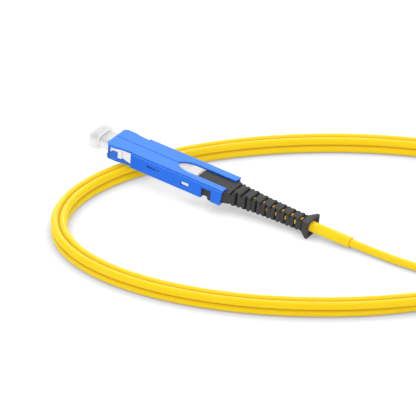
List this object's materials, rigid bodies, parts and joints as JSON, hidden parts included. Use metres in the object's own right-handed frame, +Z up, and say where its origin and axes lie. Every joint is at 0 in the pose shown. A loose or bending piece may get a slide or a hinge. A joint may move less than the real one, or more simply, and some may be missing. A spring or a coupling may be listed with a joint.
{
  "type": "duplex fibre patch cord",
  "caption": "Flat twin fibre patch cord laid in an oval coil; its split legs end in miniature push-pull plugs with sliding shells, dust caps and segmented bend boots.",
  "frame": {"origin": "on the table under the middle of the box round the plugs", "axes": "+X from the coil towards the plugs that lie flat, +Y away from the viewer, +Z up"},
  "size_m": [0.1898, 0.0706, 0.0087],
  "materials": {
    "blue_shell": "satin moulded",
    "white_frame": "satin moulded",
    "ceramic": "ground zirconia",
    "plated_metal": "nickel plated",
    "spring_steel": "drawn wire",
    "crimp_metal": "nickel-plated brass",
    "black_boot": "matt moulded",
    "cap_plastic": "milky moulded",
    "yellow_jacket": "satin jacket"
  },
  "bodies": {
    "cord": {"cord_coil": "yellow_jacket", "a1_plug_frame": "white_frame", "a1_spring": "spring_steel", "a1_stop_ring": "plated_metal", "a1_crimp_sleeve": "crimp_metal", "a1_boot": "black_boot", "a1_leg_sleeve": "yellow_jacket", "a1_leg": "yellow_jacket", "a2_plug_frame": "white_frame", "a2_spring": "spring_steel", "a2_stop_ring": "plated_metal", "a2_crimp_sleeve": "crimp_metal", "a2_boot": "black_boot", "a2_leg_sleeve": "yellow_jacket", "a2_leg": "yellow_jacket", "b1_plug_frame": "white_frame", "b1_spring": "spring_steel", "b1_stop_ring": "plated_metal", "b1_crimp_sleeve": "crimp_metal", "b1_boot": "black_boot", "b1_leg_sleeve": "yellow_jacket", "b1_leg": "yellow_jacket", "b2_plug_frame": "white_frame", "b2_spring": "spring_steel", "b2_stop_ring": "plated_metal", "b2_crimp_sleeve": "crimp_metal", "b2_boot": "black_boot", "b2_leg_sleeve": "yellow_jacket", "b2_leg": "yellow_jacket"},
    "a1_shell": {"a1_slide_housing": "blue_shell"},
    "a1_ferrule_unit": {"a1_ferrule": "ceramic", "a1_ferrule_holder": "plated_metal"},
    "a1_cap": {"a1_dust_cap": "cap_plastic"},
    "a2_shell": {"a2_slide_housing": "blue_shell"},
    "a2_ferrule_unit": {"a2_ferrule": "ceramic", "a2_ferrule_holder": "plated_metal"},
    "a2_cap": {"a2_dust_cap": "cap_plastic"},
    "b1_shell": {"b1_slide_housing": "blue_shell"},
    "b1_ferrule_unit": {"b1_ferrule": "ceramic", "b1_ferrule_holder": "plated_metal"},
    "b1_cap": {"b1_dust_cap": "cap_plastic"},
    "b2_shell": {"b2_slide_housing": "blue_shell"},
    "b2_ferrule_unit": {"b2_ferrule": "ceramic", "b2_ferrule_holder": "plated_metal"},
    "b2_cap": {"b2_dust_cap": "cap_plastic"}
  },
  "joints": [
    {"name": "a1_shell_slide", "type": "slide", "parent": "cord", "child": "a1_shell", "axis": [0.8336, -0.5455, -0.0872], "range_m": [0, 0.0012]},
    {"name": "a1_ferrule_float", "type": "slide", "parent": "cord", "child": "a1_ferrule_unit", "axis": [0.8336, -0.5455, -0.0872], "range_m": [0, 0.0008], "stiffness_N_per_m": 2500, "deforming": ["a1_spring"]},
    {"name": "a1_cap_pull", "type": "slide", "parent": "cord", "child": "a1_cap", "axis": [-0.8336, 0.5455, 0.0872], "range_m": [0, 0.012]},
    {"name": "a2_shell_slide", "type": "slide", "parent": "cord", "child": "a2_shell", "axis": [-0.9781, -0.2079, 0], "range_m": [0, 0.0012]},
    {"name": "a2_ferrule_float", "type": "slide", "parent": "cord", "child": "a2_ferrule_unit", "axis": [-0.9781, -0.2079, 0], "range_m": [0, 0.0008], "stiffness_N_per_m": 2500, "deforming": ["a2_spring"]},
    {"name": "a2_cap_pull", "type": "slide", "parent": "cord", "child": "a2_cap", "axis": [0.9781, 0.2079, 0], "range_m": [0, 0.012]},
    {"name": "b1_shell_slide", "type": "slide", "parent": "cord", "child": "b1_shell", "axis": [-0.9903, -0.1392, 0], "range_m": [0, 0.0012]},
    {"name": "b1_ferrule_float", "type": "slide", "parent": "cord", "child": "b1_ferrule_unit", "axis": [-0.9903, -0.1392, 0], "range_m": [0, 0.0008], "stiffness_N_per_m": 2500, "deforming": ["b1_spring"]},
    {"name": "b1_cap_pull", "type": "slide", "parent": "cord", "child": "b1_cap", "axis": [0.9903, 0.1392, 0], "range_m": [0, 0.012]},
    {"name": "b2_shell_slide", "type": "slide", "parent": "cord", "child": "b2_shell", "axis": [-0.9945, 0.1045, 0], "range_m": [0, 0.0012]},
    {"name": "b2_ferrule_float", "type": "slide", "parent": "cord", "child": "b2_ferrule_unit", "axis": [-0.9945, 0.1045, 0], "range_m": [0, 0.0008], "stiffness_N_per_m": 2500, "deforming": ["b2_spring"]},
    {"name": "b2_cap_pull", "type": "slide", "parent": "cord", "child": "b2_cap", "axis": [0.9945, -0.1045, 0], "range_m": [0, 0.012]}
  ]
}
